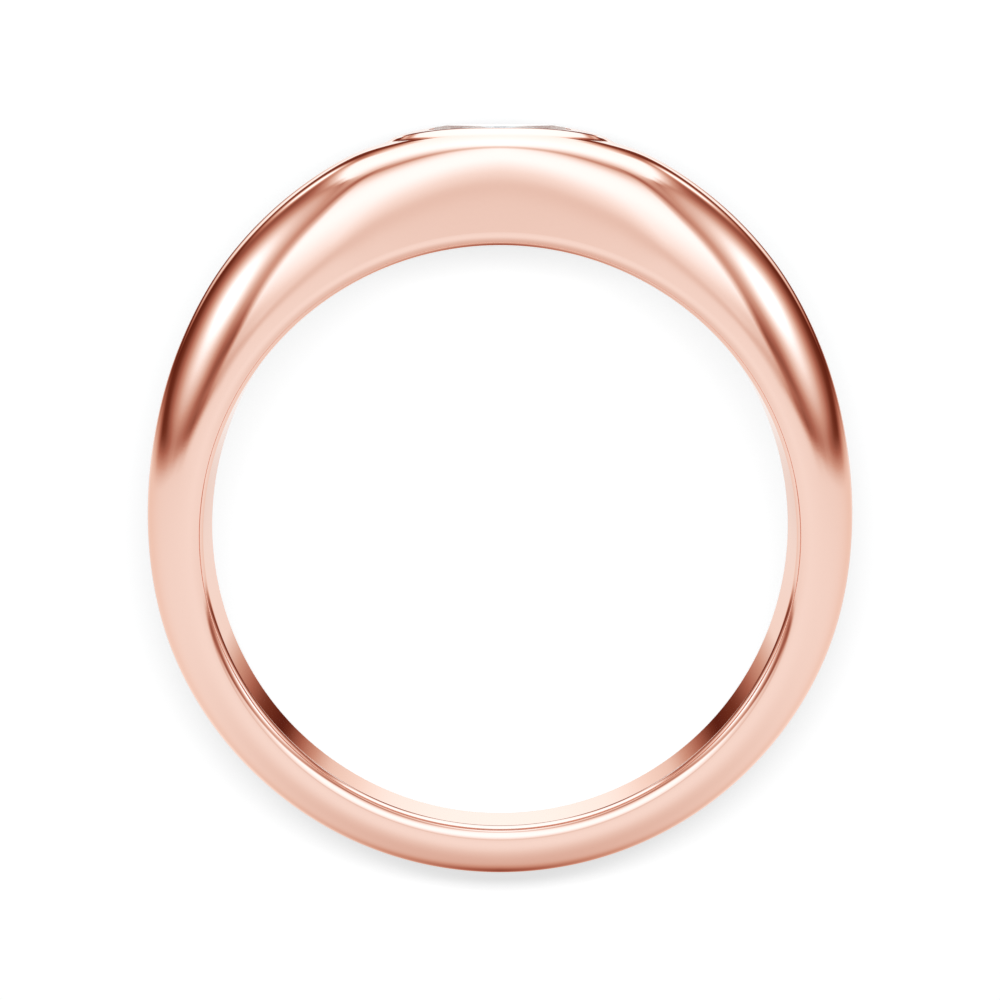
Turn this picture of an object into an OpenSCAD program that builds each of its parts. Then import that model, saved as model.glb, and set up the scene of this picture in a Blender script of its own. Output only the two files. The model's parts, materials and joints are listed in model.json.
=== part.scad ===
/* Bezel set ring: a domed, tapering band cast in one piece with a low
   oval bezel, and one oval brilliant set flush in it.

   The ring lies on its side, as it rests by itself: the finger hole's axis
   is near +Z and the head points along +Y. The head is wider than the back
   of the band, so the axis leans back by rest_tilt. The origin is on the
   surface that the ring lies on, below the middle of the ring's box. */

/* [Finger hole] */
// Radius of the finger hole, mm (17.3 mm across)
bore_r = 8.65; // [7.5:0.05:10.5]
// Radius of the rounded edge between the finger hole and the sides, mm
edge_r = 0.4; // [0.25:0.05:0.5]

/* [Band] */
// Scale on the half width of the band all round
width_scale = 1.0; // [0.9:0.01:1.1]
// How far the ring leans as it lies on its side, degrees
rest_tilt = 6.6; // [5:0.05:8]

/* [Bezel] */
// Half length of the bezel's top edge along the band, mm
bezel_a = 3.26; // [3.1:0.01:3.36]
// Half width of the bezel's top edge across the band, mm
bezel_b = 2.35; // [2.1:0.05:2.5]
// Half length of the bezel's foot, where its sloping side meets the band, mm
foot_a = 3.48; // [3.4:0.01:3.6]
// Half width of the bezel's foot, mm
foot_b = 2.66; // [2.55:0.01:2.8]
// How far the bezel's side falls from its top edge to its foot, mm
foot_drop = 0.22; // [0.18:0.01:0.3]
// Distance from the middle of the finger hole to the top of the bezel, mm
bezel_top = 11.965; // [11.9:0.005:12.05]
// How fast the top of the bezel falls toward its two ends
bezel_fall = 0.0113; // [0.008:0.0001:0.014]

/* [Stone] */
// Half length of the stone along the band, mm
stone_a = 2.05; // [2.0:0.05:2.6]
// Half width of the stone across the band, mm
stone_b = 1.5; // [1.4:0.05:1.8]
// Height of the stone's table above the top of the bezel, mm
table_rise = 0.03; // [0:0.01:0.2]
// Table length as a part of the stone's length
table_ratio = 0.76; // [0.7:0.01:0.78]
// Height of the crown, mm
crown_h = 0.35; // [0.3:0.01:0.45]
// Thickness of the girdle, mm
girdle_h = 0.1; // [0.06:0.01:0.2]
// Depth of the pavilion, mm
pavilion_h = 1.4; // [1.2:0.01:1.6]
// Gap between the stone and its seat, mm
seat_gap = 0.04; // [0.03:0.01:0.08]

/* [Hidden] */

// One row for each section of the band, from the head round to the back:
// [degrees from the head, outer radius, half width, squareness of the dome]
DEG = 0; OUT = 1; HALF = 2; SQ = 3;
SECTIONS = [
    [  0, 11.90, 3.32, 6.00],
    [ 15, 11.945, 3.30, 4.40],
    [ 21, 11.945, 3.285, 3.75],
    [ 30, 11.75, 3.24, 3.00],
    [ 45, 11.36, 3.06, 2.40],
    [ 60, 10.92, 2.76, 1.98],
    [ 75, 10.58, 2.45, 1.90],
    [ 90, 10.41, 2.18, 1.88],
    [110, 10.36, 1.84, 1.85],
    [135, 10.29, 1.50, 1.82],
    [160, 10.26, 1.34, 1.80],
    [180, 10.245, 1.30, 1.80]
];

// Smooth (Catmull-Rom) reading of one column of SECTIONS; the rows are
// mirrored past both ends, so the band closes without a corner.
last = len(SECTIONS) - 1;
function row_at(i) = i < 0 ? -i : i > last ? 2 * last - i : i;
function deg_at(i) = i < 0 ? -SECTIONS[-i][DEG]
                   : i > last ? 360 - SECTIONS[2 * last - i][DEG]
                   : SECTIONS[i][DEG];
function span(a, i = 0) = i >= last - 1 || a < SECTIONS[i + 1][DEG] ? i : span(a, i + 1);
function slope(c, i) =
    (SECTIONS[row_at(i + 1)][c] - SECTIONS[row_at(i - 1)][c]) / (deg_at(i + 1) - deg_at(i - 1));
function read_span(c, a, i) =
    let (x0 = SECTIONS[i][DEG], x1 = SECTIONS[i + 1][DEG], d = x1 - x0, t = (a - x0) / d,
         y0 = SECTIONS[i][c], y1 = SECTIONS[i + 1][c], m0 = slope(c, i) * d, m1 = slope(c, i + 1) * d)
    (2 * t * t * t - 3 * t * t + 1) * y0 + (t * t * t - 2 * t * t + t) * m0
    + (3 * t * t - 2 * t * t * t) * y1 + (t * t * t - t * t) * m1;
function read_col(c, a) = read_span(c, a, span(a));

// One side of a section, [distance from the hole's axis, distance along it]:
// the rounded inner edge first, then the dome up to the crest.
edge_steps = 4;
dome_steps = 9;
cut_in = 0.45;
function side_pts(a) =
    let (out = read_col(OUT, a), h = read_col(HALF, a) * width_scale, n = read_col(SQ, a),
         foot = bore_r + edge_r)
    concat(
        [[bore_r - cut_in, h - edge_r - 0.15]],
        [for (k = [0 : edge_steps]) let (v = 24 + (90 - 24) * k / edge_steps)
            [bore_r + edge_r * (1 - cos(v)), h - edge_r * (1 - sin(v))]],
        [for (k = [1 : dome_steps]) let (v = 90 * k / dome_steps)
            [foot + (out - foot) * pow(sin(v), 2 / n), h * pow(max(cos(v), 0), 2 / n)]]
    );
// The whole section: one side, then the other side back down
function section_pts(a) =
    let (s = side_pts(a), m = len(s) - 1)
    concat([for (k = [0 : m]) s[k]],
           [for (k = [m - 1 : -1 : 0]) [s[k][0], -s[k][1]]]);

stations = 96;
ring_pts = [for (j = [0 : stations - 1])
    let (t = 360 * j / stations, a = t > 180 ? 360 - t : t)
    for (p = section_pts(a)) [p[0] * sin(t), p[0] * cos(t), p[1]]];
per = 2 * (edge_steps + 2 + dome_steps) - 1;
ring_faces = [for (j = [0 : stations - 1]) for (k = [0 : per - 1])
    let (j1 = (j + 1) % stations, k1 = (k + 1) % per)
    for (f = [[j * per + k, j1 * per + k1, j1 * per + k],
              [j * per + k, j * per + k1, j1 * per + k1]]) f];

// How low the leaning ring reaches, so that it can be set down on Z = 0, and
// how far it reaches along Y, so that its box is centred over the origin
lift = -min([for (p = ring_pts) p[1] * sin(rest_tilt) + p[2] * cos(rest_tilt)]);
low_y = min([for (p = ring_pts) p[1] * cos(rest_tilt) - p[2] * sin(rest_tilt)]);
high_y = bezel_top * cos(rest_tilt) + bezel_b * sin(rest_tilt);
slide_y = -(low_y + high_y) / 2;

module lay_down() {
    translate([0, slide_y, lift]) rotate([rest_tilt, 0, 0]) children();
}

// An upright oval prism standing on the band, its axis along +Y
oval_steps = 48;
module oval_prism(a, b, y0, y1) {
    translate([0, y0, 0]) rotate([-90, 0, 0]) linear_extrude(y1 - y0)
        polygon([for (k = [0 : oval_steps - 1]) let (v = 360 * k / oval_steps)
            [a * cos(v), b * sin(v)]]);
}

// The top of the bezel lies on a gentle curve: nearly flat over the stone, and
// falling toward the two ends
function crown_y(x) = bezel_top - bezel_fall * pow(abs(x), 3);

// The raised bezel: one oval ring of points for the root inside the band, one
// for the foot and one for the top edge, with a sloping side between the last
// two. Its top is closed by strips across the band, each one flat.
root_y = bezel_top - 1.4;
bezel_pts = concat(
    [for (k = [0 : oval_steps - 1]) let (v = 360 * k / oval_steps)
        [(bezel_a - 0.1) * cos(v), root_y, bezel_b * sin(v)]],
    [for (k = [0 : oval_steps - 1]) let (v = 360 * k / oval_steps, x = foot_a * cos(v))
        [x, crown_y(x) - foot_drop, foot_b * sin(v)]],
    [for (k = [0 : oval_steps - 1]) let (v = 360 * k / oval_steps, x = bezel_a * cos(v))
        [x, crown_y(x), bezel_b * sin(v)]]);
half = oval_steps / 2;
function oval_i(r, k) = r * oval_steps + (k + oval_steps) % oval_steps;
bezel_faces = concat(
    [[for (k = [oval_steps - 1 : -1 : 0]) k]],
    [for (r = [0 : 1]) for (k = [0 : oval_steps - 1])
        for (f = [[oval_i(r, k), oval_i(r + 1, k + 1), oval_i(r + 1, k)],
                  [oval_i(r, k), oval_i(r, k + 1), oval_i(r + 1, k + 1)]]) f],
    [[oval_i(2, 0), oval_i(2, 1), oval_i(2, -1)]],
    [for (k = [1 : half - 2])
        [oval_i(2, k), oval_i(2, k + 1), oval_i(2, -k - 1), oval_i(2, -k)]],
    [[oval_i(2, half - 1), oval_i(2, half), oval_i(2, half + 1)]]);

// Tapered seat for the stone: follows the girdle and the pavilion
girdle_y = bezel_top + table_rise - crown_h;
module seat_cut() {
    oval_prism(stone_a + seat_gap, stone_b + seat_gap, girdle_y - girdle_h - 0.05, bezel_top + 1);
    y1 = girdle_y - girdle_h - 0.04;
    y0 = bore_r - 0.6;
    k0 = 0.34;
    pts = concat(
        [for (k = [0 : oval_steps - 1]) let (v = 360 * k / oval_steps)
            [(stone_a + seat_gap) * 0.94 * cos(v), y1, (stone_b + seat_gap) * 0.94 * sin(v)]],
        [for (k = [0 : oval_steps - 1]) let (v = 360 * k / oval_steps)
            [(stone_a + seat_gap) * k0 * cos(v), y0, (stone_b + seat_gap) * k0 * sin(v)]]);
    polyhedron(pts, concat(
        [for (k = [0 : oval_steps - 1]) let (k1 = (k + 1) % oval_steps)
            [k, k + oval_steps, k1 + oval_steps, k1]],
        [[for (k = [0 : oval_steps - 1]) k]],
        [[for (k = [oval_steps - 1 : -1 : 0]) k + oval_steps]]));
}

module ring() {
    color([0.90, 0.66, 0.58]) lay_down() difference() {
        union() {
            polyhedron(ring_pts, ring_faces);
            polyhedron(bezel_pts, bezel_faces);
        }
        cylinder(h = 20, r = bore_r, center = true, $fn = 180);
        seat_cut();
    }
}

// Brilliant cut on a unit circle, stretched to the oval:
// [distance from the middle, angle, height above the girdle]
table_r = table_ratio / cos(22.5);
star_r = 0.93;
low_r = 0.24;
function oval_pt(r, v, z) = [stone_a * r * cos(v), girdle_y + z, stone_b * r * sin(v)];
star_z = crown_h * (1 - (star_r * cos(22.5) - table_r) / (1 - table_r));
low_z = -girdle_h - pavilion_h * (1 - low_r * cos(22.5));
stone_pts = concat(
    [for (i = [0 : 7]) oval_pt(table_r, 45 * i + 22.5, crown_h)],
    [for (i = [0 : 7]) oval_pt(star_r, 45 * i, star_z)],
    [for (i = [0 : 15]) oval_pt(1, 22.5 * i, 0)],
    [for (i = [0 : 15]) oval_pt(1, 22.5 * i, -girdle_h)],
    [for (i = [0 : 7]) oval_pt(low_r, 45 * i, low_z)],
    [[0, girdle_y - girdle_h - pavilion_h, 0]]);
function tb(i) = (i + 8) % 8;
function st(i) = 8 + (i + 8) % 8;
function gu(i) = 16 + (i + 16) % 16;
function gl(i) = 32 + (i + 16) % 16;
function lo(i) = 48 + (i + 8) % 8;
stone_faces = concat(
    [[for (i = [0 : 7]) tb(i)]],
    [for (i = [0 : 7]) [tb(i), tb(i - 1), st(i)]],
    [for (i = [0 : 7]) [tb(i), st(i), gu(2 * i + 1), st(i + 1)]],
    [for (i = [0 : 7]) [st(i), gu(2 * i), gu(2 * i + 1)]],
    [for (i = [0 : 7]) [st(i), gu(2 * i - 1), gu(2 * i)]],
    [for (i = [0 : 15]) [gu(i), gl(i), gl(i + 1), gu(i + 1)]],
    [for (i = [0 : 7]) [lo(i), gl(2 * i + 1), gl(2 * i)]],
    [for (i = [0 : 7]) [lo(i), gl(2 * i), gl(2 * i - 1)]],
    [for (i = [0 : 7]) [56, lo(i + 1), gl(2 * i + 1), lo(i)]]);

module stone() {
    color([0.86, 0.90, 0.94]) lay_down() polyhedron(stone_pts, stone_faces);
}

ring();
stone();
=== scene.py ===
import json
import math

import bpy
import numpy as np
from mathutils import Matrix, Vector

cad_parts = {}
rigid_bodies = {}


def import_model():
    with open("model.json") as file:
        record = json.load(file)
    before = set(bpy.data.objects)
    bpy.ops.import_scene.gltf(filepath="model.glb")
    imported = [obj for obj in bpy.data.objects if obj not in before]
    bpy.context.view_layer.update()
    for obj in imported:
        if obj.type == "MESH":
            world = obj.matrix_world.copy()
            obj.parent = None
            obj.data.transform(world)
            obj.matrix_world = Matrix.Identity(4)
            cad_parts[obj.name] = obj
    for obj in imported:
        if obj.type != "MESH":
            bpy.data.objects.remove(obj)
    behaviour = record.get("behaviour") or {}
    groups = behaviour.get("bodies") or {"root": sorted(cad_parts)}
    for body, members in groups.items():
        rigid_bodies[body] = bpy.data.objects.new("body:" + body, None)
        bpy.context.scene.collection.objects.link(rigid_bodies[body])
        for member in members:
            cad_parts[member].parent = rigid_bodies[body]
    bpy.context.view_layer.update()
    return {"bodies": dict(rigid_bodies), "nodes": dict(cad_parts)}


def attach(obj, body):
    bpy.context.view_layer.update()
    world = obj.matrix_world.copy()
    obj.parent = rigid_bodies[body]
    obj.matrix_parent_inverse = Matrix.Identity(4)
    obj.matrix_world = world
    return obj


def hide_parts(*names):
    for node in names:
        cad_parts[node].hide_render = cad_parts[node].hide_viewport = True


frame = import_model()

MM = 0.001

# ---------------------------------------------------------------- the ring's sizes, mm (the same as the CAD)
BORE_R = 8.65
EDGE_R = 0.4
TILT = math.radians(6.6)
BEZ_A, BEZ_B = 3.26, 2.35       # the rim of the bezel
FOOT_A, FOOT_B = 3.48, 2.66     # where its slope meets the band
TOP, TOP_K = 11.965, 0.0113
STONE_A, STONE_B, GAP = 2.05, 1.5, 0.04
TABLE_RISE, CROWN_H, GIRDLE_H = 0.03, 0.35, 0.1
GIRDLE_Y = TOP + TABLE_RISE - CROWN_H
# degrees from the head, outer radius, half width, squareness of the dome
SECTIONS = np.array([
    [0, 11.90, 3.32, 6.00], [15, 11.945, 3.30, 4.40], [21, 11.945, 3.285, 3.75],
    [30, 11.75, 3.24, 3.00], [45, 11.36, 3.06, 2.40], [60, 10.92, 2.76, 1.98],
    [75, 10.58, 2.45, 1.90], [90, 10.41, 2.18, 1.88], [110, 10.36, 1.84, 1.85],
    [135, 10.29, 1.50, 1.82], [160, 10.26, 1.34, 1.80], [180, 10.245, 1.30, 1.80]])

# The ring's place as it lies: lift and slide put its box over the origin
LIFT, SLIDE_Y = 2.331566, -0.988683
LAY = Matrix.Translation((0, SLIDE_Y * MM, LIFT * MM)) @ Matrix.Rotation(TILT, 4, "X") @ Matrix.Scale(MM, 4)


# ---------------------------------------------------------------- camera: the photo's frame is square
def make_camera():
    e = math.radians(7.4)                    # above the finger hole's axis, toward the head
    far = 115.0                              # mm from the middle of the finger hole
    local = Matrix(((1, 0, 0), (0, math.cos(e), math.sin(e)), (0, -math.sin(e), math.cos(e)))).transposed()
    # the camera's axes in the ring's own axes: right, up, back
    right = Vector((1, 0, 0))
    up = Vector((0, math.cos(e), -math.sin(e)))
    back = Vector((0, math.sin(e), math.cos(e)))
    lay = Matrix.Rotation(TILT, 3, "X")
    r, u, b = lay @ right, lay @ up, lay @ back
    eye = LAY @ Vector((0, far * math.sin(e), far * math.cos(e)))
    data = bpy.data.cameras.new("camera")
    data.sensor_fit = "HORIZONTAL"
    data.sensor_width = 36.0
    data.lens = 36.0 * 3.8845
    data.shift_y = 0.0323
    data.clip_start = 0.002
    data.clip_end = 10.0
    cam = bpy.data.objects.new("camera", data)
    cam.matrix_world = Matrix(((r.x, u.x, b.x, eye.x), (r.y, u.y, b.y, eye.y), (r.z, u.z, b.z, eye.z), (0, 0, 0, 1)))
    bpy.context.scene.collection.objects.link(cam)
    bpy.context.scene.camera = cam
    return cam


make_camera()


# ---------------------------------------------------------------- the band's surface
def read(col, a):
    """Catmull-Rom reading of one column of SECTIONS at a degrees from the head, and its slope per degree"""
    x, y = SECTIONS[:, 0], SECTIONS[:, col]
    xe = np.concatenate([[-x[1]], x, [360 - x[-2]]])
    ye = np.concatenate([[y[1]], y, [y[-2]]])
    m = (ye[2:] - ye[:-2]) / (xe[2:] - xe[:-2])
    i = np.clip(np.searchsorted(x, a, side="right") - 1, 0, len(x) - 2)
    d = x[i + 1] - x[i]
    t = (a - x[i]) / d
    v = (2*t**3 - 3*t**2 + 1) * y[i] + (t**3 - 2*t**2 + t) * m[i] * d + (3*t**2 - 2*t**3) * y[i + 1] + (t**3 - t**2) * m[i + 1] * d
    s = ((6*t**2 - 6*t) * y[i] + (3*t**2 - 4*t + 1) * m[i] * d + (6*t - 6*t**2) * y[i + 1] + (3*t**2 - 2*t) * m[i + 1] * d) / d
    return v, s


FOOT = BORE_R + EDGE_R


def dome(t, th):
    """Point and normal on the dome: t radians round from the head, th 0 at the inner edge to pi/2 at the crest"""
    a = np.abs(np.degrees(t))
    sg = np.where(t < 0, -1.0, 1.0)
    out, dout = read(1, a)
    h, dh = read(2, a)
    n, dn = read(3, a)
    A = out - FOOT
    s, c = np.sin(th), np.cos(th)
    s, c = np.maximum(s, 1e-9), np.maximum(c, 0)
    den = (s**n + c**n) ** (1 / n)
    p, w = s / den, c / den
    r, z = FOOT + A * p, h * w
    k = 180 / math.pi * sg
    fr = n / A * p ** (n - 1)
    fw = n / h * w ** (n - 1)
    lp, lw = np.log(np.maximum(p, 1e-9)), np.log(np.maximum(w, 1e-9))
    ft = -n * p**n / A * dout - n * w**n / h * dh + (p**n * lp + w**n * lw) * dn
    return place(t, r, z), turn(t, fr, ft * k / r, fw)


def place(t, r, z):
    return np.stack([r * np.sin(t), r * np.cos(t), z + 0 * t], -1)


def turn(t, nr, nt, nz):
    v = np.stack([nr * np.sin(t) + nt * np.cos(t), nr * np.cos(t) - nt * np.sin(t), nz + 0 * t], -1)
    return v / np.linalg.norm(v, axis=-1, keepdims=True)


def inner_edge(t, v):
    """Point and normal on the rounded inner edge, v 0 at the bore to pi/2 at the side"""
    a = np.abs(np.degrees(t))
    sg = np.where(t < 0, -1.0, 1.0)
    h, dh = read(2, a)
    r, z = FOOT - EDGE_R * np.cos(v), h - EDGE_R + EDGE_R * np.sin(v)
    return place(t, r, z), turn(t, -np.cos(v), -np.sin(v) * dh * sg * 180 / math.pi / r, np.sin(v))


def rim_theta(t, lim):
    """Where the dome at t meets the foot of the bezel"""
    lo, hi = np.full_like(t, 0.2), np.full_like(t, math.pi / 2)
    for _ in range(50):
        mid = (lo + hi) / 2
        p, _n = dome(t, mid)
        outside = (p[..., 0] / FOOT_A) ** 2 + (p[..., 2] / FOOT_B) ** 2 > 1
        lo = np.where(outside, mid, lo)
        hi = np.where(outside, hi, mid)
    return hi


# the window under the stone, where the seat's taper meets the bore
K1, K0, Y1, Y0 = 0.94, 0.34, GIRDLE_Y - GIRDLE_H - 0.04, BORE_R - 0.6
SA, SB = STONE_A + GAP, STONE_B + GAP
def taper(y):
    return K0 + (K1 - K0) * (y - Y0) / (Y1 - Y0)
T_BEZ = math.asin(FOOT_A / 12.0)
for _ in range(30):
    T_BEZ = math.asin(FOOT_A / read(1, np.array([math.degrees(T_BEZ)]))[0][0])
T_WIN = 0.14
for _ in range(30):
    T_WIN = math.asin(SA * taper(BORE_R * math.cos(T_WIN)) / BORE_R)


def stations():
    """Angles round the ring: close together where the window and the bezel end"""
    w = T_WIN * np.sin(np.linspace(0, math.pi / 2, 25))
    q = np.linspace(0, math.pi, 37)
    b = T_WIN + (T_BEZ - T_WIN) * (1 - np.cos(q)) / 2
    q = np.linspace(0, 1, 60)
    c = T_BEZ + 0.55 * (q ** 2 * 0.6 + q * 0.4)
    rest = np.linspace(c[-1], math.pi, 190)
    half = np.concatenate([w, b[1:], c[1:], rest[1:]])
    return np.concatenate([-half[::-1][:-1], half[:-1]])    # -180 .. just under 180


class Mesh:
    def __init__(self):
        self.v, self.f, self.n = [], [], []
        self.count = 0

    def add(self, pts):
        pts = np.asarray(pts, float).reshape(-1, 3)
        i = np.arange(self.count, self.count + len(pts))
        self.v.append(pts)
        self.count += len(pts)
        return i

    def grid(self, idx, nrm, wrap=False, flip=False):
        """Quads between rows of vertex numbers, with each corner's own normal"""
        rows, cols = idx.shape
        for i in range(rows - 1):
            for j in range(cols if wrap else cols - 1):
                k = (j + 1) % cols
                quad = [(i, j), (i, k), (i + 1, k), (i + 1, j)]
                if flip:
                    quad.reverse()
                ids, ns = [], []
                for a, b in quad:
                    if idx[a, b] not in ids:
                        ids.append(idx[a, b])
                        ns.append(nrm[a, b])
                if len(ids) > 2:
                    self.f.append([int(q) for q in ids])
                    self.n.extend(ns)


def build_ring():
    T = stations()
    N = len(T)
    M = Mesh()
    in_bez = np.abs(T) < T_BEZ - 1e-9
    at_bez = np.abs(np.abs(T) - T_BEZ) < 1e-9
    in_win = np.abs(T) < T_WIN - 1e-9
    at_win = np.abs(np.abs(T) - T_WIN) < 1e-9
    th_end = np.full(N, math.pi / 2)
    th_end[in_bez] = rim_theta(T[in_bez], None)
    # where the bore stops at the window
    z_end = np.zeros(N)
    for _ in range(2):
        y = BORE_R * np.cos(T)
        k = taper(y)
        x = BORE_R * np.sin(T)
        z_end = np.where(in_win, SB * k * np.sqrt(np.maximum(0, 1 - (x / (SA * k)) ** 2)), 0.0)
    h = read(2, np.abs(np.degrees(T)))[0]
    nb, ne, nd = 5, 12, 56
    loops = {}
    for side in (1, -1):
        flip = side < 0
        S = np.array([1, 1, side])
        P, Nn = [], []
        for q in np.linspace(0, 1, nb + 1):
            z = z_end + (h - EDGE_R - z_end) * q
            P.append(place(T, BORE_R + 0 * T, z))
            Nn.append(turn(T, -1 + 0 * T, 0 * T, 0 * T))
        bore_p, bore_n = np.array(P), np.array(Nn)
        P, Nn = [], []
        for v in np.linspace(0, math.pi / 2, ne + 1):
            p, n = inner_edge(T, v)
            P.append(p), Nn.append(n)
        edge_p, edge_n = np.array(P), np.array(Nn)
        P, Nn = [], []
        for q in np.linspace(0, 1, nd + 1):
            g = q ** 0.9
            p, n = dome(T, th_end * g)
            P.append(p), Nn.append(n)
        dome_p, dome_n = np.array(P), np.array(Nn)
        if side > 0:
            ib = M.add(bore_p * S).reshape(nb + 1, N)
            near_mid_bore, near_crest = ib[0].copy(), None
        else:
            ib = M.add(bore_p[1:] * S).reshape(nb, N)
            first = near_mid_bore.copy()
            own = M.add(bore_p[0][in_win] * S)
            first[in_win] = own
            ib = np.vstack([first[None], ib])
        ie = np.vstack([ib[-1][None], M.add(edge_p[1:] * S).reshape(ne, N)])
        if side > 0:
            idm = np.vstack([ie[-1][None], M.add(dome_p[1:] * S).reshape(nd, N)])
            crest = idm[-1].copy()
        else:
            idm = np.vstack([ie[-1][None], M.add(dome_p[1:-1] * S).reshape(nd - 1, N)])
            last = crest.copy()
            last[in_bez] = M.add(dome_p[-1][in_bez] * S)
            idm = np.vstack([idm, last[None]])
        M.grid(ib, bore_n * S, wrap=True, flip=flip)
        M.grid(ie, edge_n * S, wrap=True, flip=flip)
        M.grid(idm, dome_n * S, wrap=True, flip=flip)
        rim = np.flatnonzero(in_bez | at_bez)
        win = np.flatnonzero(in_win | at_win)
        loops[side] = (idm[-1][rim], dome_p[-1][rim] * S, dome_n[-1][rim] * S, ib[0][win], bore_p[0][win] * S)
    # closed loops: the near side from -x to +x, then the far side back
    near, far = loops[1], loops[-1]
    foot_i, foot_p, foot_n, win_i, win_p = (np.concatenate([p, q[::-1][1:-1]]) for p, q in zip(near, far))
    bezel(M, foot_i, foot_p, foot_n, win_i, win_p)
    return M


def top_y(x):
    return TOP - TOP_K * np.abs(x) ** 3


def top_n(x):
    n = np.stack([3 * TOP_K * x * np.abs(x), np.ones_like(x), np.zeros_like(x)], -1)
    return n / np.linalg.norm(n, axis=-1, keepdims=True)


RIM_R = 0.045       # the rim's rounded outer edge
RIM_FALL = 12.0     # degrees that the worn strip inside that edge leans outward
RIM_WORN = (0.05, 0.14)     # its width at the sides, and what it gains toward the ends
LIP_R = 0.03        # the rim's rounded inner edge
HOLLOW = 0.07       # the soft hollow where the bezel's slope meets the band


def bezel(M, foot_i, foot_p, foot_n, win_i, win_p):
    al = np.arctan2(foot_p[:, 2] / FOOT_B, foot_p[:, 0] / FOOT_A)
    ca, sa = np.cos(al), np.sin(al)
    L = len(al)
    out = np.stack([ca / BEZ_A, 0 * ca, sa / BEZ_B], -1)
    out /= np.linalg.norm(out, axis=-1, keepdims=True)

    def oval(a, b, y):
        return np.stack([a * ca, y + 0 * ca, b * sa], -1)
    rim = oval(BEZ_A, BEZ_B, 0)
    worn = RIM_WORN[0] + RIM_WORN[1] * ca[:, None] ** 2
    rim[:, 1] = top_y(rim[:, 0]) - worn[:, 0] * math.tan(math.radians(RIM_FALL))
    # the slope runs from the rim down and out; the hollow starts a little inside the foot
    side = foot_p - rim
    side[:, 1] = 0
    run = np.linalg.norm(side, axis=-1, keepdims=True)
    side = side / run
    soft = np.minimum(HOLLOW, 0.4 * run)
    inward = -side - foot_n * np.sum(-side * foot_n, -1, keepdims=True)
    inward /= np.linalg.norm(inward, axis=-1, keepdims=True)
    turn_pt = foot_p + inward * soft
    up = rim - turn_pt
    length = np.linalg.norm(up, axis=-1, keepdims=True)
    up /= length
    soft = np.minimum(soft, 0.5 * length)
    rows = [foot_p]
    for q in np.linspace(0, 1, 9)[1:]:
        rows.append((1 - q) ** 2 * (turn_pt - inward * soft) + 2 * q * (1 - q) * turn_pt + q * q * (turn_pt + up * soft))
    # the rounded outer edge takes the corner between the slope and the flat of the rim
    tn = top_n(rim[:, 0])
    flat = -out - tn * np.sum(-out * tn, -1, keepdims=True)
    flat = unit(flat) * math.cos(math.radians(RIM_FALL)) + tn * math.sin(math.radians(RIM_FALL))
    bend = np.arccos(np.clip(np.sum(up * flat, -1, keepdims=True), -1, 1))
    cut = RIM_R * np.tan(bend / 2)
    low, high = rim - up * cut, rim + flat * cut
    start = rows[-1]
    for q in (0.3, 0.6, 0.85):
        rows.append(start + (low - start) * q)
    centre = low + RIM_R * unit(np.cross(np.cross(up, flat), up))
    for q in np.linspace(0, 1, 8):
        w = np.sin((1 - q) * bend) / np.sin(bend), np.sin(q * bend) / np.sin(bend)
        rows.append(centre + (low - centre) * w[0] + (high - centre) * w[1])
    inner = oval(SA + LIP_R, SB + LIP_R, 0)
    edge = rim + flat * worn
    for q in (0.85, 0.1, 0.0):
        rows.append(edge + (high - edge) * q)
    for q in (0.05, 0.4, 1.0):
        p = edge + (inner - edge) * q
        p[:, 1] = top_y(p[:, 0])
        rows.append(p)
    iw = unit(np.stack([ca / SA, 0 * ca, sa / SB], -1))
    for v in np.linspace(0, math.pi / 2, 6)[1:]:
        p = inner - iw * LIP_R * math.sin(v)
        p[:, 1] = top_y(inner[:, 0]) - LIP_R * (1 - math.cos(v))
        rows.append(p)
    P = np.array(rows)
    along = np.roll(P, -1, axis=1) - np.roll(P, 1, axis=1)
    # normals half way between the rows' steps, each row's mean weighted to the nearer step
    step = np.diff(P, axis=0)
    size = np.linalg.norm(step, axis=-1, keepdims=True)
    mid = step / np.maximum(size, 1e-9)
    across = np.concatenate([mid[:1], (mid[:-1] * size[1:] + mid[1:] * size[:-1]) / (size[1:] + size[:-1]), mid[-1:]])
    n = unit(np.cross(along, across))
    n *= np.sign(np.sum(n[0] * foot_n, -1))[None, :, None]
    n[0] = foot_n
    n[-1] = -iw
    ids = [foot_i] + [M.add(p) for p in rows[1:]]
    rows_n = list(n)
    for y in (GIRDLE_Y + 0.1, GIRDLE_Y - GIRDLE_H - 0.05):
        ids.append(M.add(oval(SA, SB, y))), rows_n.append(-iw)
    M.grid(np.array(ids), np.array(rows_n), wrap=True)
    # the seat's ledge and taper
    led = np.tile([0.0, 1.0, 0.0], (L, 1))
    i1 = M.add(oval(SA * K1, SB * K1, Y1))
    M.grid(np.array([ids[-1], i1]), np.array([led, led]), wrap=True)
    y_mid = 9.3
    k = taper(y_mid)
    tap = unit(-iw * 0.97 + led * 0.25)
    i2 = M.add(oval(SA * k, SB * k, y_mid))
    M.grid(np.array([i1, i2]), np.array([tap, tap]), wrap=True)
    # to the window's own loop
    wal = np.unwrap(np.arctan2(win_p[:, 2], win_p[:, 0]))
    ual = np.unwrap(al)
    zipper(M, i2, ual, tap, win_i, wal)


def unit(v):
    return v / np.maximum(np.linalg.norm(v, axis=-1, keepdims=True), 1e-12)


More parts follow.
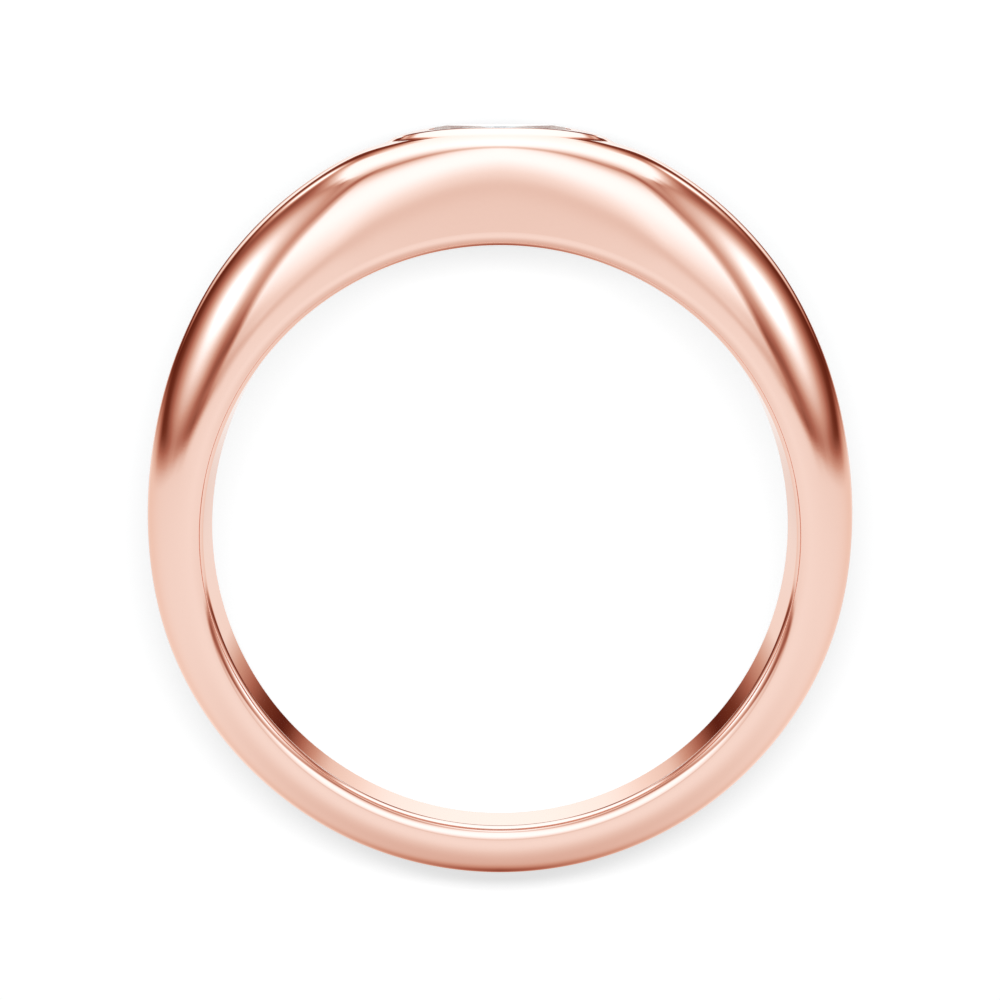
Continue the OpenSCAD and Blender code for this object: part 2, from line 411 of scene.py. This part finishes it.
def zipper(M, ia, aa, na, ib, ab):
    """Triangles between two closed loops, both running the same way round"""
    la, lb = len(ia), len(ib)
    aa = np.concatenate([aa, aa[:1] + np.sign(aa[-1] - aa[0]) * 2 * math.pi])
    ab = np.concatenate([ab, ab[:1] + np.sign(ab[-1] - ab[0]) * 2 * math.pi])
    i = j = 0
    while i < la or j < lb:
        use_a = j >= lb or (i < la and abs(aa[i + 1] - aa[0]) <= abs(ab[j + 1] - ab[0]))
        if use_a:
            tri = [ia[i], ia[(i + 1) % la], ib[j % lb]]
            i += 1
        else:
            tri = [ia[i % la], ib[(j + 1) % lb], ib[j]]
            j += 1
        n = na[(i if i < la else 0)]
        M.f.append([int(q) for q in tri])
        M.n.extend([n] * 3)


def to_object(M, name):
    co = np.concatenate(M.v)
    mesh = bpy.data.meshes.new(name)
    mesh.from_pydata([tuple(p) for p in co], [], M.f)
    mesh.transform(LAY)
    rot = np.array(Matrix.Rotation(TILT, 3, "X"))
    mesh.polygons.foreach_set("use_smooth", [True] * len(mesh.polygons))
    nrm = np.array(M.n) @ rot.T
    mesh.update()
    mesh.normals_split_custom_set([tuple(n) for n in nrm])
    mesh.update()
    ob = bpy.data.objects.new(name, mesh)
    bpy.context.scene.collection.objects.link(ob)
    return ob


# ---------------------------------------------------------------- materials
def new_material(name):
    m = bpy.data.materials.new(name)
    m.use_nodes = True
    m.node_tree.nodes.clear()
    return m, m.node_tree.nodes, m.node_tree.links


def rose_gold():
    m, N, L = new_material("rose_gold")
    out = N.new("ShaderNodeOutputMaterial")
    b = N.new("ShaderNodeBsdfPrincipled")
    L.new(b.outputs[0], out.inputs[0])
    b.inputs["Metallic"].default_value = 1.0
    b.inputs["Base Color"].default_value = (0.947, 0.694, 0.604, 1)
    b.inputs["Specular Tint"].default_value = (0.97, 0.80, 0.72, 1)
    co = N.new("ShaderNodeTexCoord")
    # the polish: a faint mottle and hair-fine buffing marks, seen only in the gloss
    n1 = N.new("ShaderNodeTexNoise")
    n1.inputs["Scale"].default_value = 900
    n1.inputs["Detail"].default_value = 3
    L.new(co.outputs["Object"], n1.inputs["Vector"])
    r = N.new("ShaderNodeMapRange")
    r.inputs["To Min"].default_value = 0.035
    r.inputs["To Max"].default_value = 0.060
    L.new(n1.outputs[0], r.inputs[0])
    L.new(r.outputs[0], b.inputs["Roughness"])
    n2 = N.new("ShaderNodeTexNoise")
    n2.inputs["Scale"].default_value = 9000
    n2.inputs["Detail"].default_value = 2
    mp = N.new("ShaderNodeMapping")
    mp.inputs["Scale"].default_value = (1, 1, 0.15)
    L.new(co.outputs["Object"], mp.inputs[0])
    L.new(mp.outputs[0], n2.inputs["Vector"])
    bu = N.new("ShaderNodeBump")
    bu.inputs["Strength"].default_value = 0.02
    bu.inputs["Distance"].default_value = 0.00001
    L.new(n2.outputs[0], bu.inputs["Height"])
    L.new(bu.outputs[0], b.inputs["Normal"])
    return m


def diamond_with_painted_sparkle():
    m, N, L = new_material("stone")
    out = N.new("ShaderNodeOutputMaterial")
    b = N.new("ShaderNodeBsdfPrincipled")
    L.new(b.outputs[0], out.inputs[0])
    b.inputs["Roughness"].default_value = 0.04
    b.inputs["IOR"].default_value = 2.42
    b.inputs["Transmission Weight"].default_value = 0.8
    # painted glow and painted reflections: the stone emits light in place of what the pavilion would send back,
    # broken into small bright and grey patches
    b.inputs["Metallic"].default_value = 0.0
    b.inputs["Emission Strength"].default_value = 0.13
    co = N.new("ShaderNodeTexCoord")
    v = N.new("ShaderNodeTexVoronoi")
    v.inputs["Scale"].default_value = 2600
    L.new(co.outputs["Object"], v.inputs["Vector"])
    # painted sparkle: these grey-to-bright patches colour both the base and the glow, standing in for the facets'
    # reflections
    r = N.new("ShaderNodeValToRGB")
    r.color_ramp.elements[0].color = (0.64, 0.61, 0.595, 1)
    r.color_ramp.elements[1].color = (0.90, 0.86, 0.84, 1)
    L.new(v.outputs["Color"], r.inputs[0])
    L.new(r.outputs[0], b.inputs["Base Color"])
    # the same painted patches drive the glow, so the stone shines though it is no lamp
    L.new(r.outputs[0], b.inputs["Emission Color"])
    return m


# ---------------------------------------------------------------- the studio
class Sums:
    """Sums on a node tree; every value is a number or an output socket"""
    def __init__(self, tree):
        self.N, self.L = tree.nodes, tree.links

    def put(self, socket, value):
        if isinstance(value, (int, float)):
            socket.default_value = value
        else:
            self.L.new(value, socket)

    def math(self, op, a, b=0.0, c=0.0):
        n = self.N.new("ShaderNodeMath")
        n.operation = op
        for socket, value in zip(n.inputs, (a, b, c)):
            self.put(socket, value)
        return n.outputs[0]

    def add(self, a, b):
        return self.math("ADD", a, b)

    def sub(self, a, b):
        return self.math("SUBTRACT", a, b)

    def mul(self, a, b):
        return self.math("MULTIPLY", a, b)

    def smooth(self, v, a, b):
        """0 below a, 1 above b, an S curve between them"""
        n = self.N.new("ShaderNodeMapRange")
        n.interpolation_type = "SMOOTHSTEP"
        for name, value in (("Value", v), ("From Min", a), ("From Max", b), ("To Min", 0.0), ("To Max", 1.0)):
            self.put(n.inputs[name], value)
        return n.outputs[0]

    def mix(self, a, b, t):
        return self.math("MULTIPLY_ADD", self.sub(b, a), t, a)

    def table(self, v, xs, ys):
        """Straight lines between the points (xs, ys)"""
        lo, hi = min(ys), max(ys)
        span = (hi - lo) or 1.0
        n = self.N.new("ShaderNodeValToRGB")
        ramp = n.color_ramp
        ramp.interpolation = "LINEAR"
        while len(ramp.elements) < len(xs):
            ramp.elements.new(0.5)
        for e, x, y in zip(ramp.elements, xs, ys):
            e.position = (x - xs[0]) / (xs[-1] - xs[0])
        for e, x, y in zip(ramp.elements, xs, ys):
            q = (y - lo) / span
            e.color = (q, q, q, 1)
        t = self.mul(self.sub(v, xs[0]), 1 / (xs[-1] - xs[0]))
        self.L.new(t, n.inputs[0])
        return self.add(self.mul(n.outputs[0], span), lo)

    def lobe(self, vec, az, el, k, amount):
        """A soft round patch of light about one direction"""
        a, e = math.radians(az), math.radians(el)
        n = self.N.new("ShaderNodeVectorMath")
        n.operation = "DOT_PRODUCT"
        self.L.new(vec, n.inputs[0])
        n.inputs[1].default_value = (math.sin(a) * math.cos(e), math.sin(e), math.cos(a) * math.cos(e))
        return self.mul(self.math("EXPONENT", self.mul(self.sub(n.outputs["Value"], 1.0), k)), amount)


# The soft boxes round the ring, in the ring's own axes. Azimuth runs from the
# camera's side (0) by the sides (90) to behind (180), alike to left and right;
# elevation runs up toward the head. Brightness is in steps of a 0-255 grey.
AZ = (0, 5, 15, 25, 32, 40, 50, 60, 70, 80, 90, 100, 110, 120, 130, 140, 150, 160, 170, 180)
BORDER = (-80.5, -76.8, -70.2, -56.0, -45.7, -35.6, 9.1, 37.8, 38.7, 45.7, 50.7, 47.7, 45.6, 41.1, 36.5, 30.9,
    25.3, 25.7, 15.5, -27.7)
SOFT_AZ = (0, 60, 90, 120, 180)
SOFT = (0.993, 0.265, 0.03, 0.072, 0.199)
LEVEL_BELOW = 181.0
LOBES_BELOW = ((-0.0, -86.3, 1.27, 89.0), (55.2, -84.2, 3.74, -93.5), (198.6, -36.6, 9.31, -221.0), (170.1,
    -25.8, 27.63, 73.1))
LEVEL_ABOVE = 250.0
LOBES_ABOVE = ((-0.0, -29.4, 4.12, -11.5), (54.0, 56.5, 25.00, -75.0), (105.8, 89.4, 12.00, 8.0))
SEAM = (0.4, 0.113, 45.0)
GAP_AZ = (0, 40, 60, 90, 120, 145, 180)
GAP_LEVEL = (2.2, -0.3, -47.8, -38.2, -18.8, -5.1, -16.5)
WINDOW = (91.9, 21.3, 50.2, 41.6, 22.9, 34.6, 318.2)
LOBES_GAP = ((154.7, 25.0, 175.74, 283.5), (161.3, -15.0, 53.85, 363.4))
HORIZON = (-0.032, -0.081, 0.075)
BACK_Y = (-0.07, 0.0, 0.035, 0.1, 0.18, 0.22, 0.26, 0.42)
BACK_LEVEL = (210, 60, 20, 200, 250, 250, 60, 40)
BACK_FROM = (0.87, 0.93)
# the dark line where the table ends: azimuth, elevation, depth; and its half width
EDGE_AZ = (0, 9, 16, 25, 37, 50, 60, 78, 94, 102, 111, 122, 134, 145, 180)
EDGE_EL = (-0.5, -0.8, -3.2, -5.6, -3.8, -2.4, -1.8, -0.5, 0.2, 0.5, 0.8, 0.8, 0.5, 0.5, 0.5)
EDGE_DEPTH = (11, 16, 19, 26, 38, 95, 100, 40, 14, 16, 32, 44, 45, 0, 0)
EDGE_HALF = 2.8
# straight behind, just over the table's edge: what the flat tops mirror
MID_Y = (-0.1, 0.05, 0.2)
MID_LEVEL = (210, 218, 245)
# grey step, then red, green and blue of the light
TINT = (
    (0, 0.06, 0.0, 0.0), (50, 0.18, 0.045, 0.025), (100, 0.44, 0.18, 0.13), (150, 0.67, 0.43, 0.35),
    (196, 0.88, 0.79, 0.75), (217, 1.0, 1.0, 1.0), (262, 1.2, 1.6, 1.8))
FLOOR_GLOW = 0.72
# width, length, place and power of the lamp over the head, mm and W
LAMP = (60, 12, (0, 6.0, 45), 0.0116)


def make_world():
    w = bpy.data.worlds.new("studio")
    bpy.context.scene.world = w
    w.use_nodes = True
    N, L = w.node_tree.nodes, w.node_tree.links
    N.clear()
    S = Sums(w.node_tree)
    out = N.new("ShaderNodeOutputWorld")
    bg = N.new("ShaderNodeBackground")
    L.new(bg.outputs[0], out.inputs[0])
    tc = N.new("ShaderNodeTexCoord")
    rot = N.new("ShaderNodeVectorRotate")
    rot.rotation_type = "X_AXIS"
    rot.inputs["Angle"].default_value = -TILT
    L.new(tc.outputs["Generated"], rot.inputs["Vector"])
    sep = N.new("ShaderNodeSeparateXYZ")
    L.new(rot.outputs[0], sep.inputs[0])
    x = S.math("ABSOLUTE", sep.outputs[0])
    y, z = sep.outputs[1], sep.outputs[2]
    com = N.new("ShaderNodeCombineXYZ")
    L.new(x, com.inputs[0]), L.new(y, com.inputs[1]), L.new(z, com.inputs[2])
    vec = com.outputs[0]
    az = S.mul(S.math("ARCTAN2", x, z), 180 / math.pi)
    el = S.mul(S.math("ARCSINE", S.math("MINIMUM", S.math("MAXIMUM", y, -1.0), 1.0)), 180 / math.pi)

    # below: the pale table that everything stands on
    below = LEVEL_BELOW
    for a, e, k, m in LOBES_BELOW:
        below = S.add(S.lobe(vec, a, e, k, m), below)
    # above: one large soft box over the head
    above = LEVEL_ABOVE
    for a, e, k, m in LOBES_ABOVE:
        above = S.add(S.lobe(vec, a, e, k, m), above)
    q = S.math("DIVIDE", z, S.math("MAXIMUM", y, 0.01))
    g = S.mul(S.sub(q, SEAM[0]), 1 / SEAM[1])
    g = S.math("EXPONENT", S.mul(S.mul(g, g), -1.0))
    g = S.mul(g, S.smooth(y, 0.60, 0.80))
    above = S.sub(above, S.mul(g, SEAM[2]))
    # between them: the dark gap at the sides, with a window of light in it
    ca, ce, af, ab, ed, eu, amp = WINDOW
    right = S.math("GREATER_THAN", az, ca)
    high = S.math("GREATER_THAN", el, ce)
    du = S.mul(S.sub(az, ca), S.mix(1 / af, 1 / ab, right))
    dv = S.mul(S.sub(el, ce), S.mix(1 / ed, 1 / eu, high))
    win = S.math("EXPONENT", S.mul(S.add(S.mul(du, du), S.mul(dv, dv)), -1.0))
    gap = S.add(S.mul(win, amp), S.table(az, GAP_AZ, GAP_LEVEL))
    for a, e, k, m in LOBES_GAP:
        gap = S.add(S.lobe(vec, a, e, k, m), gap)
    gap = S.math("MINIMUM", gap, 262.0)
    soft = S.mul(S.table(az, SOFT_AZ, SOFT), 2 * 180 / math.pi)
    top = S.math("DIVIDE", S.sub(el, S.table(az, AZ, BORDER)), soft)
    level = S.mix(gap, above, S.smooth(top, 0.0, 1.0))
    rise = S.math("MULTIPLY_ADD", S.math("MAXIMUM", z, 0.0), HORIZON[0], y)
    level = S.mix(below, level, S.smooth(rise, HORIZON[1], HORIZON[2]))
    # behind, low down: a narrow light just over the table's edge
    back = S.table(y, BACK_Y, BACK_LEVEL)
    m = S.mul(S.smooth(S.mul(z, -1.0), BACK_FROM[0], BACK_FROM[1]), S.smooth(y, -0.16, -0.10))
    m = S.mul(m, S.sub(1.0, S.smooth(y, 0.38, 0.50)))
    level = S.mix(level, back, m)

    # the line along the table's edge
    d = S.mul(S.sub(el, S.table(az, EDGE_AZ, EDGE_EL)), 1 / EDGE_HALF)
    d = S.math("EXPONENT", S.mul(S.mul(d, d), -1.0))
    level = S.sub(level, S.mul(d, S.table(az, EDGE_AZ, EDGE_DEPTH)))
    mid = S.table(y, MID_Y, MID_LEVEL)
    m = S.mul(S.smooth(az, 171.5, 175.0), S.smooth(y, -0.16, -0.10))
    level = S.mix(level, mid, S.mul(m, S.sub(1.0, S.smooth(y, 0.16, 0.22))))
    level = S.math("MINIMUM", S.math("MAXIMUM", level, 0.0), 262.0)

    # grey step to light: warmer as it dims, as if reflected warm between boxes
    ramp = N.new("ShaderNodeValToRGB")
    cr = ramp.color_ramp
    while len(cr.elements) < len(TINT):
        cr.elements.new(0.5)
    for e, row in zip(cr.elements, TINT):
        e.position = row[0] / TINT[-1][0]
    for e, row in zip(cr.elements, TINT):
        e.color = (row[1] / 2, row[2] / 2, row[3] / 2, 1)
    L.new(S.mul(level, 1 / TINT[-1][0]), ramp.inputs[0])
    lp = N.new("ShaderNodeLightPath")
    pick = N.new("ShaderNodeMix")
    pick.data_type = "RGBA"
    L.new(lp.outputs["Is Camera Ray"], pick.inputs["Factor"])
    L.new(ramp.outputs[0], pick.inputs["A"])
    pick.inputs["B"].default_value = (0.5, 0.5, 0.5, 1)
    L.new(pick.outputs["Result"], bg.inputs["Color"])
    # the floor has its own light; the boxes only show in polished surfaces
    shown = S.math("LESS_THAN", lp.outputs["Diffuse Depth"], 0.5)
    L.new(S.mul(shown, 2.0), bg.inputs["Strength"])


def make_floor():
    bpy.ops.mesh.primitive_plane_add(size=4.0, location=(0, 0, 0))
    f = bpy.context.object
    f.name = "floor"
    m, N, L = new_material("floor")
    out = N.new("ShaderNodeOutputMaterial")
    b = N.new("ShaderNodeBsdfDiffuse")
    b.inputs[0].default_value = (0.9, 0.9, 0.9, 1)
    e = N.new("ShaderNodeEmission")
    e.inputs["Strength"].default_value = FLOOR_GLOW
    a = N.new("ShaderNodeAddShader")
    L.new(b.outputs[0], a.inputs[0])
    L.new(e.outputs[0], a.inputs[1])
    L.new(a.outputs[0], out.inputs[0])
    f.data.materials.append(m)
    f.visible_glossy = False
    f.visible_transmission = False
    return f


def make_lamp(name, size_x, size_y, place_mm, power):
    data = bpy.data.lights.new(name, "AREA")
    data.shape = "RECTANGLE"
    data.size, data.size_y = size_x * MM, size_y * MM
    data.energy = power
    ob = bpy.data.objects.new(name, data)
    ob.location = Vector(place_mm) * MM
    ob.visible_camera = False
    ob.visible_glossy = False
    ob.visible_transmission = False
    bpy.context.scene.collection.objects.link(ob)
    return ob


M = build_ring()
ring = to_object(M, "gold_ring")
ring.data.materials.append(rose_gold())
body = list(frame["bodies"])[0]
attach(ring, body)
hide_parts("ring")
stone = frame["nodes"]["stone"]
mat = diamond_with_painted_sparkle()
if stone.material_slots:
    stone.material_slots[0].material = mat
else:
    stone.data.materials.append(mat)

make_world()
make_floor()
make_lamp("soft_lamp", *LAMP)

scene = bpy.context.scene
scene.view_settings.view_transform = "Standard"
scene.view_settings.look = "None"
